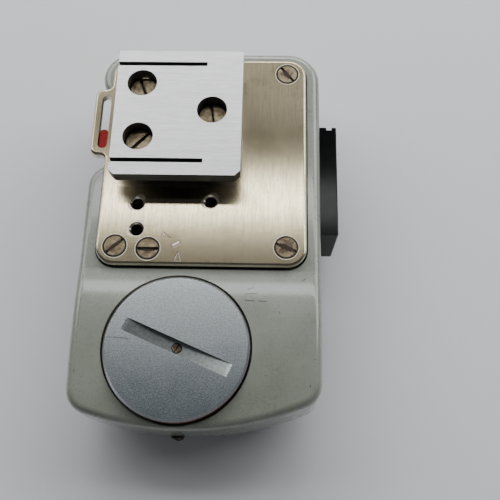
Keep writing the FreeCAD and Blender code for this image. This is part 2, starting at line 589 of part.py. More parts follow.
def core_magnet():
    return rod(AXIS_X, AXIS_Y, 3.4, 6.35, 10.05)


def core_holders():
    """Two blocks that hold the core magnet in the yoke, clear of the coil's sweep."""
    bar = box((AXIS_X - 0.8, AXIS_X + 0.8), (AXIS_Y - 4.95, AXIS_Y + 4.95), (7.4, 8.6))
    bar = bar.common(tube(AXIS_X, AXIS_Y, 4.95 - FIT, 3.4 + FIT, 0, 20))
    return Part.makeCompound(bar.Solids)


def coil(reach, z, wire, depth):
    """A rectangular loop standing on edge round the core magnet, wide along X."""
    outer = box((AXIS_X - reach, AXIS_X + reach), (AXIS_Y - depth / 2, AXIS_Y + depth / 2), z)
    hole = box((AXIS_X - reach + wire, AXIS_X + reach - wire), (AXIS_Y - depth, AXIS_Y + depth),
               (z[0] + wire, z[1] - wire))
    return outer.cut(hole)


def at_rest(shape):
    """The moving coil's pieces are drawn at mid-scale and turned to the zero position."""
    return turned(shape, AXIS_X, AXIS_Y, NEEDLE_REST)


def coil_bobbin():
    loop = coil(COIL_REACH - 0.22, (COIL_Z[0] + 0.22, COIL_Z[1] - 0.22), 0.2, 2.0)
    return at_rest(loop)


def coil_winding():
    inner, outer = COIL_REACH - 0.22, COIL_REACH
    loop = coil(outer, COIL_Z, outer - inner, 1.8)
    return at_rest(loop)


def coil_pivots():
    front = fused([rod(AXIS_X, AXIS_Y, 0.22, 4.35, COIL_Z[0]), rod(AXIS_X, AXIS_Y, 0.6, 5.18, COIL_Z[0])])
    rear = fused([rod(AXIS_X, AXIS_Y, 0.22, COIL_Z[1], 11.6), rod(AXIS_X, AXIS_Y, 0.6, COIL_Z[1], 11.2)])
    return Part.makeCompound([front, rear])


def needle():
    """Pointer: collar on the front pivot, low arm, a step up to the scale's level, fine tip."""
    low, high = (4.9, 5.1), (2.5, 2.7)
    collar = tube(AXIS_X, AXIS_Y, 0.9, 0.22 + FIT, 4.85, 5.15)
    arm = box((AXIS_X - 0.22, AXIS_X + 0.22), (AXIS_Y + 0.6, AXIS_Y + 7.6), low)
    step = box((AXIS_X - 0.22, AXIS_X + 0.22), (AXIS_Y + 7.4, AXIS_Y + 7.6), (high[0], low[1]))
    y0, y1 = AXIS_Y + 7.4, AXIS_Y + 14.6
    outline = [Vector(AXIS_X - 0.22, y0, high[0]), Vector(AXIS_X + 0.22, y0, high[0]),
               Vector(AXIS_X + 0.07, y1, high[0]), Vector(AXIS_X - 0.07, y1, high[0]),
               Vector(AXIS_X - 0.22, y0, high[0])]
    tip = Part.Face(Part.makePolygon(outline)).extrude(Vector(0, 0, high[1] - high[0]))
    tail = box((AXIS_X - 0.15, AXIS_X + 0.15), (AXIS_Y - 3.6, AXIS_Y - 0.6), low)
    return at_rest(fused([collar, arm, step, tip, tail]))


def needle_counterweight():
    weight = Part.makeCylinder(0.42, 1.1, Vector(AXIS_X, AXIS_Y - 3.6, 5.0), Vector(0, 1, 0))
    tail = box((AXIS_X - 0.15, AXIS_X + 0.15), (AXIS_Y - 4, AXIS_Y), (4.9, 5.1))
    return at_rest(weight.cut(tail))


def hairspring(z, inner, outer, turns, start):
    """Flat spiral of rectangular wire, made of half-turn arcs whose radius steps outwards."""
    wire_half, step = 0.04, (outer - inner) / (turns * 2)
    sides = [box((AXIS_X - 8, AXIS_X + 8), y, (0, 20)) for y in ((AXIS_Y, AXIS_Y + 8), (AXIS_Y - 8, AXIS_Y))]
    pieces = []
    for n in range(turns * 2):
        radius = inner + step * (n + 0.5)
        shift = step / 2 * (1 if n % 2 else -1)
        ring = tube(AXIS_X + shift, AXIS_Y, radius + wire_half, radius - wire_half, *z)
        pieces.append(ring.common(sides[n % 2]))
    return turned(fused(pieces), AXIS_X, AXIS_Y, start)


def hairspring_front():
    return hairspring((5.25, 5.4), 0.68, 2.45, 4, 0)


def hairspring_rear():
    along = lever_direction()
    return hairspring((11.02, 11.17), 0.68, 2.45, 4, math.degrees(math.atan2(along.y, along.x)))


# ---- window and scale ----------------------------------------------------------------------------


def window_glass():
    """Clear window: a flange behind the front wall and a step that fills the opening."""
    flange = rounded_block((WINDOW_X[0] - 0.8, WINDOW_X[1] + 0.8), (WINDOW_Y[0] - 0.8, WINDOW_Y[1] + 0.4),
                           (WALL, WALL + 0.8), 1.0)
    step = rounded_block((WINDOW_X[0] + 0.1, WINDOW_X[1] - 0.1), (WINDOW_Y[0] + 0.1, WINDOW_Y[1] - 0.1),
                         (0.25, WALL), 1.1)
    return fused([flange, step])


def scale_plate():
    """Printed scale behind the needle, its near edge cut to an arc that the needle's step clears."""
    z = (SCALE_FRONT, SCALE_FRONT + 0.3)
    plate = rounded_block(SCALE_X, SCALE_Y, z, 0.8)
    tab_x = (SCALE_SCREW_X[0] - 1.3, SCALE_SCREW_X[1] + 1.3)
    tab = rounded_block(tab_x, (SCALE_Y[1] - 3, SCALE_SCREW_Y + 1.3), z, 0.8)
    plate = fused([plate, tab]).cut(rod(AXIS_X, AXIS_Y, 8.7, 0, 20))
    for x in SCALE_SCREW_X:
        plate = plate.cut(rod(x, SCALE_SCREW_Y, 0.55, 0, 20))
    return plate


def scale_screws():
    return Part.makeCompound([slotted_screw(x, SCALE_SCREW_Y, 0.95, 0.48, SCALE_FRONT + 0.8, 0.5, 1.6, 45)
                              for x in SCALE_SCREW_X])


# ---- range switch and circuit --------------------------------------------------------------------


def range_knob():
    """Red slider in the side notch: ribbed finger block and a tip that stands in the ear's slot."""
    block = box((-16.45, -13.2), (11.0, 13.6), (10.6, 12.9))
    ribs = [box((-17, -16.2), (y, y + 0.3), (6, 14)) for y in (11.35, 11.95, 12.55, 13.1)]
    for rib in ribs:
        block = block.cut(rib)
    half = 0.58
    tip = rounded_block((EAR_SLOT_X - half, EAR_SLOT_X + half), (10.65, 13.6), (12.9, 14.05), 0.5)
    tang = box((-13.2, -11.3), (11.3, 13.3), (11.0, 11.9))
    return fused([block, tip, tang])


def range_wiper():
    """Bent contact spring on the knob's tang."""
    foot = box((-11.3, -11.05), (11.4, 13.2), (9.6, 12.1))
    blade = box((-11.05, -10.55), (11.9, 12.7), (9.6, 9.85))
    return fused([foot, blade])


def switch_board():
    return box((-10.2, -9.6), (8.9, 20.2), (7.4, PLATE_BOTTOM))


def switch_contacts():
    """Two contact studs that the wiper meets at the ends of its travel."""
    return Part.makeCompound([rod_along_x(-10.5, -10.2, y, 9.72, 0.5) for y in (12.3, 17.3)])


def rod_along_x(x0, x1, y, z, radius):
    return Part.makeCylinder(radius, x1 - x0, Vector(x0, y, z), Vector(1, 0, 0))


def circuit_board():
    board = rounded_block(BOARD_X, BOARD_Y, BOARD_Z, 0.8)
    for y in BOARD_SCREW_Y:
        board = board.cut(rod(BOARD_SCREW_X, y, 0.6, 0, 20))
    return board


def board_screws():
    return Part.makeCompound([slotted_screw(BOARD_SCREW_X, y, 0.95, 0.5, 10.0, 0.5, 4.6, 35)
                              for y in BOARD_SCREW_Y])


def board_spacers():
    return Part.makeCompound([tube(BOARD_SCREW_X, y, 1.1, 0.6, 5.2, BOARD_Z[0]) for y in BOARD_SCREW_Y])


def resistor(x, y, length, radius, z):
    """Wire-wound bobbin lying along Y: flanges at both ends of a winding."""
    def barrel(r, y0, y1):
        return Part.makeCylinder(r, y1 - y0, Vector(x, y0, z), Vector(0, 1, 0))

    half = length / 2
    return fused([barrel(radius, y - half, y - half + 0.4), barrel(radius - 0.25, y - half, y + half),
                  barrel(radius, y + half - 0.4, y + half)])


def range_resistor():
    return resistor(5.2, -15.2, 7.0, 1.35, BOARD_Z[0] - 1.35)


def calibration_resistor():
    return resistor(8.4, -15.2, 5.4, 1.35, BOARD_Z[0] - 1.35)


def lead(points, radius):
    """An insulated wire: straight runs joined by tangent arcs."""
    path, here = [], points[0]
    for before, corner, after in zip(points, points[1:], points[2:]):
        a, b = (corner - before), (after - corner)
        turn = a.getAngle(b)
        reach = 0.4 * min(a.Length, b.Length)
        start, end = corner - a.normalize() * reach, corner + b.normalize() * reach
        bend = reach / math.tan(turn / 2)
        inwards = (b - a).normalize()
        middle = corner + inwards * (bend / math.cos(turn / 2) - bend)
        path.append(Part.LineSegment(here, start).toShape())
        path.append(Part.Arc(start, middle, end).toShape())
        here = end
    path.append(Part.LineSegment(here, points[-1]).toShape())
    wire = Part.Wire(path)
    direction = points[1] - points[0]
    profile = Part.Wire(Part.makeCircle(radius, points[0], direction))
    return wire.makePipeShell([profile], True, True)


def cell_lead():
    """Insulated wire from the photocell to the circuit board."""
    return lead([Vector(12.2, 7.7, 5.1), Vector(12.3, 7.4, 3.0), Vector(12.6, 1.0, 2.6),
                 Vector(12.6, -5.2, 4.6), Vector(12.3, -7.2, 9.2), Vector(9.2, -8.6, 9.85),
                 Vector(8.2, -11.6, 9.85)], 0.28)


# ---- output --------------------------------------------------------------------------------------
NODES = {
    "housing": housing, "base_plate": base_plate, "plate_screws": plate_screws, "shoe_foot": shoe_foot,
    "foot_screws": foot_screws, "zero_screw": zero_screw, "zero_lever": zero_lever,
    "coupling_disc": coupling_disc, "disc_tyre": disc_tyre, "disc_screw": disc_screw,
    "thrust_washer": thrust_washer, "dial_bush": dial_bush, "dial_shaft": dial_shaft,
    "bush_lock_screw": bush_lock_screw, "seal_lacquer": seal_lacquer, "aperture_ring": aperture_ring,
    "disc_spring": disc_spring, "stop_pin": stop_pin, "speed_ring": speed_ring, "film_disc": film_disc,
    "dial_screw": dial_screw,
    "cell_frame": cell_frame, "cell_window": lambda: inside_aperture((15.2, 16.35), 0.04),
    "selenium_cell": lambda: inside_aperture((13.2, 13.9), 0.04), "cell_backing": cell_backing,
    "cell_spring": cell_spring, "window_glass": window_glass, "scale_plate": scale_plate,
    "scale_screws": scale_screws, "front_bridge": front_bridge, "rear_bridge": rear_bridge,
    "front_jewel_screw": lambda: jewel(3.55, 4.75, 4.25, 5.0),
    "rear_jewel_screw": lambda: jewel(11.25, 12.9, 11.0, 11.7),
    "movement_spacers": spacers, "movement_screws": movement_screws, "yoke_ring": yoke_ring,
    "core_magnet": core_magnet, "core_holders": core_holders, "coil_bobbin": coil_bobbin,
    "coil_winding": coil_winding, "coil_pivots": coil_pivots, "needle": needle,
    "needle_counterweight": needle_counterweight, "hairspring_front": hairspring_front,
    "hairspring_rear": hairspring_rear, "range_knob": range_knob, "range_wiper": range_wiper,
    "switch_board": switch_board, "switch_contacts": switch_contacts, "circuit_board": circuit_board,
    "board_spacers": board_spacers, "board_screws": board_screws, "range_resistor": range_resistor,
    "calibration_resistor": calibration_resistor, "cell_lead": cell_lead,
}


def main():
    os.makedirs("parts", exist_ok=True)
    for name, make in NODES.items():
        shape = make()
        solids = shape.Solids
        if not solids or not all(s.isValid() for s in solids):
            print("check this node:", name, len(solids))
        shape = solids[0] if len(solids) == 1 else Part.makeCompound(solids)
        shape.exportStep(os.path.join("parts", name + ".step"))
        print(name, len(solids), round(sum(s.Volume for s in solids), 2))


main()
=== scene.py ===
"""Looks for the clip-on selenium light meter: materials, fine detail, camera and light."""

import bpy
import json
import math
import random

from mathutils import Matrix, Vector


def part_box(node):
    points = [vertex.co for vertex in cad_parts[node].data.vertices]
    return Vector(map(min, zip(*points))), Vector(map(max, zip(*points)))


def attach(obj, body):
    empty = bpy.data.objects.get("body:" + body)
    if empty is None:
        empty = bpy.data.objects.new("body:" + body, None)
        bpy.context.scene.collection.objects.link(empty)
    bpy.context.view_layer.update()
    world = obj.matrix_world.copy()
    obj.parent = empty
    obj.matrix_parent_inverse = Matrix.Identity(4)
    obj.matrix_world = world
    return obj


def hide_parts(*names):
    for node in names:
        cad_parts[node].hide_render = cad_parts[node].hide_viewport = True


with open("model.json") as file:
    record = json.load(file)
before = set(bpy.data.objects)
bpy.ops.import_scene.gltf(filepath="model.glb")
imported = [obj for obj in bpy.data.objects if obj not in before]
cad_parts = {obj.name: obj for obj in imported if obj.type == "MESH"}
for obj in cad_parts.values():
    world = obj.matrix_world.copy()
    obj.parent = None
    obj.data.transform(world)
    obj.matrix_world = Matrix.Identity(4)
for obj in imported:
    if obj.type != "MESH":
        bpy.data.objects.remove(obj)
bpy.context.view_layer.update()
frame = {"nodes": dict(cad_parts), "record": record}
NODES = frame["nodes"]
MM = 0.001
rng = random.Random(7)

# Places on the CAD model, in millimetres
PLATE_TOP, FOOT_SIDES_TOP = 14.4, 18.80
PLATE_SCREWS = [(9.85, 22.54), (9.85, -3.48), (-12.15, -3.58), (-12.15, 22.54)]
PLATE_SLOT_ANGLES, FOOT_SLOT_ANGLES = (128, -22, 42), (-68, 47, -80)
FOOT_SCREWS, FOOT_SCREW_TOP = [(-9.5, 17.96), (-9.5, 9.90), (-0.05, 13.93)], 17.3
FOOT_SLITS_Y = (6.45, 20.95)
SPARE_HOLES = [(-9.5, 6.86), (-9.5, -1.2), (-0.05, 2.83), (-9.65, 2.45)]
ZERO_SCREW, NOUGHT, DIAL, AXIS = (-7.86, -3.87), (-4.26, -3.18), (-3.5, -16.52), (-3.0, 4.6)
RIM_INNER, GROOVE_DEEP, GROOVE_EDGE = 8.74, 14.02, 14.13
# Printed faces lie just in front of the shutter ring, film disc, fixed ring and scale plate
RING_PRINT, FILM_PRINT, DECK_PRINT, SCALE_PRINT = 0.592, 0.492, 3.592, 3.192


# ---- colours and node helpers --------------------------------------------------------------------
def srgb(r, g, b):
    """Linear colour from 0-255 display values."""
    shares = (c / 255 for c in (r, g, b))
    return *(c / 12.92 if c <= 0.04045 else ((c + 0.055) / 1.055) ** 2.4 for c in shares), 1.0


class Paint:
    """Builds one procedural material. Values are numbers, colours or other nodes' outputs."""

    def __init__(self, name):
        self.material = bpy.data.materials.new(name)
        self.material.use_nodes = True
        self.tree = self.material.node_tree
        self.tree.nodes.clear()
        self.shader = self.tree.nodes.new("ShaderNodeBsdfPrincipled")
        output = self.tree.nodes.new("ShaderNodeOutputMaterial")
        self.link(self.shader.outputs[0], output.inputs[0])
        self.place = self.tree.nodes.new("ShaderNodeTexCoord").outputs["Object"]

    def link(self, source, target):
        """Joins an output to an input."""
        self.tree.links.new(source, target)

    def feed(self, socket, value):
        """Gives an input its value."""
        if isinstance(value, bpy.types.NodeSocket):
            self.link(value, socket)
        else:
            socket.default_value = value

    def set(self, **values):
        """Sets the shader's inputs by name."""
        for key, value in values.items():
            self.feed(self.shader.inputs[key.replace("_", " ")], value)

    def scaled(self, x, y, z):
        """Object coordinates in millimetres, stretched on each axis."""
        node = self.tree.nodes.new("ShaderNodeMapping")
        node.inputs["Scale"].default_value = (1000 * x, 1000 * y, 1000 * z)
        self.link(self.place, node.inputs["Vector"])
        return node.outputs[0]

    def noise(self, vector, scale, detail=3.0, roughness=0.55):
        """Soft random value from about 0.2 to 0.8."""
        node = self.tree.nodes.new("ShaderNodeTexNoise")
        node.inputs["Scale"].default_value = scale
        node.inputs["Detail"].default_value = detail
        node.inputs["Roughness"].default_value = roughness
        self.link(vector, node.inputs["Vector"])
        return node.outputs[0]

    def fit(self, value, low, high, to_low=0.0, to_high=1.0):
        """Value mapped from one range to another, clamped."""
        node = self.tree.nodes.new("ShaderNodeMapRange")
        for key, number in (("From Min", low), ("From Max", high), ("To Min", to_low), ("To Max", to_high)):
            node.inputs[key].default_value = number
        self.link(value, node.inputs["Value"])
        return node.outputs[0]

    def math(self, operation, a, b=0.0):
        """One sum on two values."""
        node = self.tree.nodes.new("ShaderNodeMath")
        node.operation = operation
        for socket, value in zip(node.inputs, (a, b)):
            self.feed(socket, value)
        return node.outputs[0]

    def mix(self, factor, a, b):
        """Colour a where factor is 0, colour b where it is 1."""
        node = self.tree.nodes.new("ShaderNodeMix")
        node.data_type = "RGBA"
        for socket, value in zip((node.inputs[0], node.inputs[6], node.inputs[7]), (factor, a, b)):
            self.feed(socket, value)
        return node.outputs[2]

    def axes(self):
        """X, Y and Z of the object coordinates, in millimetres."""
        node = self.tree.nodes.new("ShaderNodeSeparateXYZ")
        self.link(self.scaled(1, 1, 1), node.inputs[0])
        return node.outputs

    def bump(self, height, strength, distance):
        """Raises the surface where height is large, by up to distance in millimetres."""
        node = self.tree.nodes.new("ShaderNodeBump")
        node.inputs["Strength"].default_value = strength
        node.inputs["Distance"].default_value = distance * MM
        self.link(height, node.inputs["Height"])
        self.set(Normal=node.outputs[0])


def plain(name, colour, metallic=0.0, roughness=0.5, **more):
    """A material of one colour with a little unevenness in its roughness."""
    paint = Paint(name)
    uneven = paint.noise(paint.scaled(1, 1, 1), 0.8)
    paint.set(Base_Color=colour, Metallic=metallic,
              Roughness=paint.fit(uneven, 0.3, 0.7, roughness * 0.85, min(1.0, roughness * 1.15)), **more)
    return paint.material


# ---- materials -----------------------------------------------------------------------------------
def streak(paint, axes, start, end, half_width, soft=0.05):
    """Mask of a short line between two points in the XY plane, in millimetres."""
    length = math.dist(start, end)
    ux, uy = (end[0] - start[0]) / length, (end[1] - start[1]) / length
    middle = ((start[0] + end[0]) / 2, (start[1] + end[1]) / 2)
    dx, dy = paint.math("SUBTRACT", axes[0], middle[0]), paint.math("SUBTRACT", axes[1], middle[1])
    along = paint.math("ADD", paint.math("MULTIPLY", dx, ux), paint.math("MULTIPLY", dy, uy))
    along = paint.math("ABSOLUTE", along)
    across = paint.math("SUBTRACT", paint.math("MULTIPLY", dy, ux), paint.math("MULTIPLY", dx, uy))
    across = paint.math("ABSOLUTE", across)
    inside = paint.fit(along, length / 2, length / 2 + soft, 1, 0)
    return paint.math("MULTIPLY", inside, paint.fit(across, half_width, half_width + soft, 1, 0))


# Scratches run between two points; chips and blots are a place and a radius
SCRATCHES = [((4.77, -10.46), (5.92, -10.50)), ((4.78, -9.58), (6.31, -9.52)),
             ((5.04, -8.99), (5.85, -8.71)), ((6.43, -10.50), (7.48, -10.58)),
             ((11.86, -7.77), (12.37, -7.43))]
CHIPS = [(9.10, -11.98, 0.13), (12.73, -12.08, 0.07), (-7.56, -7.52, 0.12), (13.54, -6.69, 0.10),
         (13.38, 6.83, 0.17), (13.62, 2.63, 0.10), (13.69, 4.07, 0.08), (14.2, 1.48, 0.14),
         (-15.8, -19.6, 0.12), (12.9, -20.9, 0.12)]


def enamel():
    """Grey-green enamel: orange peel, faint mottling, a few scratches, chips and worn specks."""
    paint = Paint("enamel")
    place, axes = paint.scaled(1, 1, 1), paint.axes()
    base = paint.mix(paint.fit(paint.noise(place, 0.16, 5), 0.3, 0.7),
                     srgb(114, 119, 108), srgb(131, 137, 126))
    fine = paint.fit(paint.noise(place, 4.5, 2), 0.35, 0.65)
    base = paint.mix(paint.math("MULTIPLY", fine, 0.35), base, srgb(146, 152, 141))
    marks = paint.fit(paint.noise(place, 1.1, 2, 0.4), 0.77, 0.785)
    worn = paint.math("GREATER_THAN", axes[2], 12.4)
    for start, end in SCRATCHES:
        marks = paint.math("MAXIMUM", marks, streak(paint, axes, start, end, 0.045))
    for x, y, radius in CHIPS:
        marks = paint.math("MAXIMUM", marks, streak(paint, axes, (x - 0.03, y), (x + 0.03, y), radius))
    marks = paint.math("MULTIPLY", marks, worn)
    colour = paint.mix(paint.math("MULTIPLY", marks, 0.85), base, srgb(62, 56, 48))
    peel = paint.math("ADD", paint.noise(place, 0.85, 2, 0.4),
                      paint.math("MULTIPLY", paint.noise(place, 3.0, 2), 0.25))
    height = paint.math("SUBTRACT", peel, paint.math("MULTIPLY", marks, 0.6))
    haze = paint.fit(paint.noise(place, 0.6, 4, 0.6), 0.35, 0.65, 0.25, 0.36)
    paint.set(Base_Color=colour, Roughness=haze, Specular_IOR_Level=0.5,
              Coat_Weight=0.75, Coat_Roughness=0.09)
    paint.bump(height, 0.5, 0.03)
    return paint.material


def brushed(name, dark, light, along, roughness, spread, stain=None, wear_and_painted_highlight_below=0.0):
    """Paint of metal with fine scratches along X or Y, which spread its highlights across them.

    Edges lower than the height given as the last argument, in millimetres, are painted bright: partly worn
    metal, partly a painted highlight along the rounded edge.
    """
    paint = Paint(name)
    stretch = (0.04, 1.0, 1.0) if along == "X" else (1.0, 0.04, 1.0)
    place = paint.scaled(1, 1, 1)
    lines = paint.noise(paint.scaled(*stretch), 11.0, 4, 0.7)
    broad = paint.noise(paint.scaled(*stretch), 2.0, 3)
    speckle = paint.noise(place, 9.0, 2, 0.6)
    tone = paint.math("ADD", paint.math("MULTIPLY", lines, 0.55), paint.math("MULTIPLY", broad, 0.2))
    tone = paint.math("ADD", tone, paint.math("MULTIPLY", speckle, 0.25))
    colour = paint.mix(paint.fit(tone, 0.36, 0.64), dark, light)
    if wear_and_painted_highlight_below:
        edge = paint.fit(paint.axes()[2], wear_and_painted_highlight_below, wear_and_painted_highlight_below - 0.12)
        # Painted highlight mixed with wear on the edges below that height
        wear_and_painted_highlight = paint.math("MULTIPLY", edge, paint.fit(speckle, 0.35, 0.6, 0.55, 1.0))
        colour = paint.mix(wear_and_painted_highlight, colour, srgb(236, 230, 214))
    if stain:
        cloud = paint.fit(paint.noise(place, 0.2, 5, 0.6), 0.5, 0.8, 0.0, 0.55)
        pits = paint.fit(paint.noise(place, 2.4, 2, 0.5), 0.70, 0.76, 0.0, 0.7)
        colour = paint.mix(paint.math("MAXIMUM", cloud, pits), colour, stain)
    across = paint.tree.nodes.new("ShaderNodeCombineXYZ")
    across.inputs[1 if along == "X" else 0].default_value = 1.0
    paint.set(Base_Color=colour, Metallic=1.0, Anisotropic=spread, Tangent=across.outputs[0],
              Roughness=paint.fit(tone, 0.3, 0.7, roughness * 1.2, roughness * 0.85))
    paint.bump(lines, 0.08, 0.006)
    return paint


def milled_shoe():
    """The foot's aluminium: brushed along X on top, with painted shade below the top face on its sides and
    counterbore walls, and near-black painted shade in the slits.
    """
    paint = brushed("shoe_aluminium", srgb(184, 185, 187), srgb(222, 222, 224), "X", 0.42, 0.5)
    axes, colour = paint.axes(), paint.shader.inputs["Base Color"].links[0].from_socket
    below = paint.fit(axes[2], FOOT_SIDES_TOP, FOOT_SIDES_TOP + 0.08, 1, 0)
    slits = [paint.fit(paint.math("ABSOLUTE", paint.math("SUBTRACT", axes[1], y)), 0.32, 0.36, 1, 0)
             for y in FOOT_SLITS_Y]
    slit = paint.math("MULTIPLY", below, paint.math("MAXIMUM", *slits))
    # Painted shade: below the top face the foot is darker, and the slits near black
    colour = paint.mix(below, colour, srgb(150, 150, 151))
    paint.set(Base_Color=paint.mix(slit, colour, srgb(14, 13, 12)), Metallic=paint.fit(slit, 0, 1, 1, 0))
    return paint.material


def blasted():
    """Finely blasted aluminium disc with painted shade towards -Y, a turned rim painted bright as a painted
    highlight, and a soiled groove with painted shade.
    """
    paint = Paint("disc_aluminium")
    place, axes = paint.scaled(1, 1, 1), paint.axes()
    grain = paint.noise(place, 7.5, 2, 0.6)
    # Painted shade: the grain goes from a lit tone to a shaded tone towards -Y
    lit_grain = paint.mix(paint.fit(grain, 0.34, 0.66), srgb(150, 158, 162), srgb(208, 214, 216))
    shaded_grain = paint.mix(paint.fit(grain, 0.34, 0.66), srgb(96, 106, 112), srgb(158, 167, 172))
    cloud = paint.math("MULTIPLY", paint.math("SUBTRACT", paint.noise(place, 0.25, 4), 0.5), 9.0)
    tone = paint.mix(paint.fit(paint.math("ADD", axes[1], cloud), -15.0, -25.5), lit_grain, shaded_grain)
    squares = [paint.math("POWER", paint.math("ADD", axis, -centre), 2.0) for axis, centre in zip(axes, DIAL)]
    rim = paint.math("GREATER_THAN", paint.math("SQRT", paint.math("ADD", *squares)), RIM_INNER)
    sunk = paint.math("SUBTRACT", paint.fit(axes[2], GROOVE_DEEP, GROOVE_EDGE, 1, 0), rim)
    dirt_and_shade = paint.mix(paint.fit(paint.noise(place, 2.6, 3, 0.5), 0.3, 0.7),
                     srgb(124, 130, 130), srgb(152, 158, 157))
    # Painted shade: the groove's colour darkens towards its -X end, over its soiling
    dirt_and_shade = paint.mix(paint.fit(axes[0], -9.5, 1.5, 0.35, 0), dirt_and_shade, srgb(84, 88, 86))
    hair = streak(paint, axes, (-12.05, -15.46), (-9.38, -15.61), 0.03)
    # The rim is painted bright: partly its turned finish, partly a painted highlight
    colour = paint.mix(sunk, paint.mix(rim, tone, srgb(222, 225, 228)), dirt_and_shade)
    colour = paint.mix(paint.math("MULTIPLY", hair, 0.6), colour, srgb(60, 64, 66))
    paint.set(Base_Color=colour, Metallic=0.95,
              Roughness=paint.fit(paint.math("SUBTRACT", sunk, rim), -1, 1, 0.2, 0.4))
    smooth = paint.math("MAXIMUM", sunk, rim)
    paint.bump(paint.math("MULTIPLY", grain, paint.fit(smooth, 0, 1, 1, 0.3)), 0.35, 0.02)
    return paint.material


BLOTS = [(9.95, -3.25, 1.5), (9.35, -3.75, 0.9), (9.75, 22.60, 1.2), (-12.5, -3.95, 0.8),
         (-7.75, -4.2, 0.9), (-3.3, -16.4, 0.9)]


def worn_brass():
    """Tarnished screw metal: tan, with brown bloom, dark pits and rusty blots on the most worn heads."""
    paint = Paint("screw_brass")
    place, axes = paint.scaled(1, 1, 1), paint.axes()
    bloom = paint.fit(paint.noise(place, 0.9, 5, 0.7), 0.38, 0.68)
    colour = paint.mix(bloom, srgb(140, 129, 106), srgb(88, 75, 54))
    pits = paint.fit(paint.noise(place, 3.0, 3, 0.6), 0.60, 0.70)
    colour = paint.mix(pits, colour, srgb(48, 36, 24))
    ragged = paint.math("MULTIPLY", paint.math("SUBTRACT", paint.noise(place, 2.2, 4, 0.7), 0.5), 2.4)
    rust = 0.0
    for x, y, reach in BLOTS:
        spot = paint.math("ADD", streak(paint, axes, (x - 0.2, y), (x + 0.2, y), 0.02, reach), ragged)
        rust = paint.math("MAXIMUM", rust, paint.fit(spot, 0.45, 0.6))
    colour = paint.mix(paint.math("MULTIPLY", rust, 0.85), colour, srgb(66, 40, 16))
    paint.set(Base_Color=colour, Metallic=paint.fit(rust, 0, 1, 0.85, 0.1),
              Roughness=paint.fit(bloom, 0, 1, 0.34, 0.55))
    paint.bump(paint.noise(place, 4.0, 3), 0.35, 0.03)
    return paint.material


MATERIALS = {
    "enamel": enamel(),
    "nickel_silver": brushed("nickel_silver", srgb(152, 141, 114), srgb(196, 186, 157), "Y", 0.2, 0.9,
                             srgb(112, 94, 70), wear_and_painted_highlight_below=PLATE_TOP - 0.02).material,
    "shoe_aluminium": milled_shoe(),
    "disc_aluminium": blasted(),
    "screw_brass": worn_brass(),
    "brass": plain("brass", srgb(205, 172, 104), 1.0, 0.3),
    "steel": plain("steel", srgb(150, 150, 152), 1.0, 0.32),
    "black_frame": plain("black_frame", srgb(11, 14, 14), 0.0, 0.11, Specular_IOR_Level=0.1),
    "cell_glass": plain("cell_glass", srgb(226, 230, 228), 0.0, 0.12,
                        Transmission_Weight=0.85, IOR=1.49),
    "selenium": plain("selenium", srgb(62, 60, 66), 0.3, 0.5),
    "window": plain("window", srgb(244, 246, 246), 0.0, 0.04, Transmission_Weight=1.0, IOR=1.49),
    "red_plastic": plain("red_plastic", srgb(140, 3, 2), 0.0, 0.3, Specular_IOR_Level=0.15),
    "tyre_fibre": plain("tyre_fibre", srgb(112, 52, 38), 0.0, 0.7),
    "lacquer": plain("lacquer", srgb(46, 28, 20), 0.0, 0.35),
    "bright_aluminium": plain("bright_aluminium", srgb(208, 209, 210), 1.0, 0.36),
    "scale_white": plain("scale_white", srgb(226, 223, 212), 0.0, 0.6),
    "dark_iron": plain("dark_iron", srgb(84, 84, 88), 0.8, 0.5),
    "copper_wire": plain("copper_wire", srgb(172, 98, 62), 0.8, 0.35),
    "red_paint": plain("red_paint", srgb(196, 40, 30), 0.0, 0.5),
    "board": plain("board", srgb(140, 98, 60), 0.0, 0.6),
    "resistor_body": plain("resistor_body", srgb(172, 140, 100), 0.0, 0.6),
    "lead_cover": plain("lead_cover", srgb(150, 44, 36), 0.0, 0.5),
}
# Dark material of soiling and painted shade, for the gaps and slot floors
DIRT_AND_SHADE = plain("dirt_and_shade", srgb(34, 26, 18), 0.0, 0.85)
INK = plain("ink", srgb(24, 24, 26), 0.0, 0.6)
# Painted highlight for bright edges
PAINTED_EDGE_HIGHLIGHT = plain("painted_edge_highlight", srgb(214, 206, 188), 0.9, 0.36)
MARK = plain("mark", srgb(66, 58, 46), 0.2, 0.6)
SMEAR = plain("smear", srgb(42, 28, 14), 0.0, 0.8)

for part in frame["record"]["subparts"]:
    mesh = NODES[part["node"]].data
    mesh.materials.clear()
    mesh.materials.append(MATERIALS[part["material_slot"]])


# ---- small pieces --------------------------------------------------------------------------------
def piece(name, vertices, faces, material, body="case"):
    """A mesh from vertices in millimetres that rides on a body."""
    mesh = bpy.data.meshes.new(name)
    mesh.from_pydata([[c * MM for c in v] for v in vertices], [], faces)
    mesh.materials.append(material)
    thing = bpy.data.objects.new(name, mesh)
    bpy.context.collection.objects.link(thing)
    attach(thing, body)
    return thing


def slab(ring, z0, z1):
    """Vertices and faces of a closed prism over a ring of XY points that runs anticlockwise."""
    n = len(ring)
    vertices = [(x, y, z0) for x, y in ring] + [(x, y, z1) for x, y in ring]
    faces = [tuple(range(n - 1, -1, -1)), tuple(range(n, 2 * n))]
    faces += [(i, (i + 1) % n, n + (i + 1) % n, n + i) for i in range(n)]
    return vertices, faces


def merged(shapes):
    """Several vertex and face lists as one."""
    vertices, faces = [], []
    for points, polygons in shapes:
        faces += [tuple(i + len(vertices) for i in polygon) for polygon in polygons]
        vertices += points
    return vertices, faces


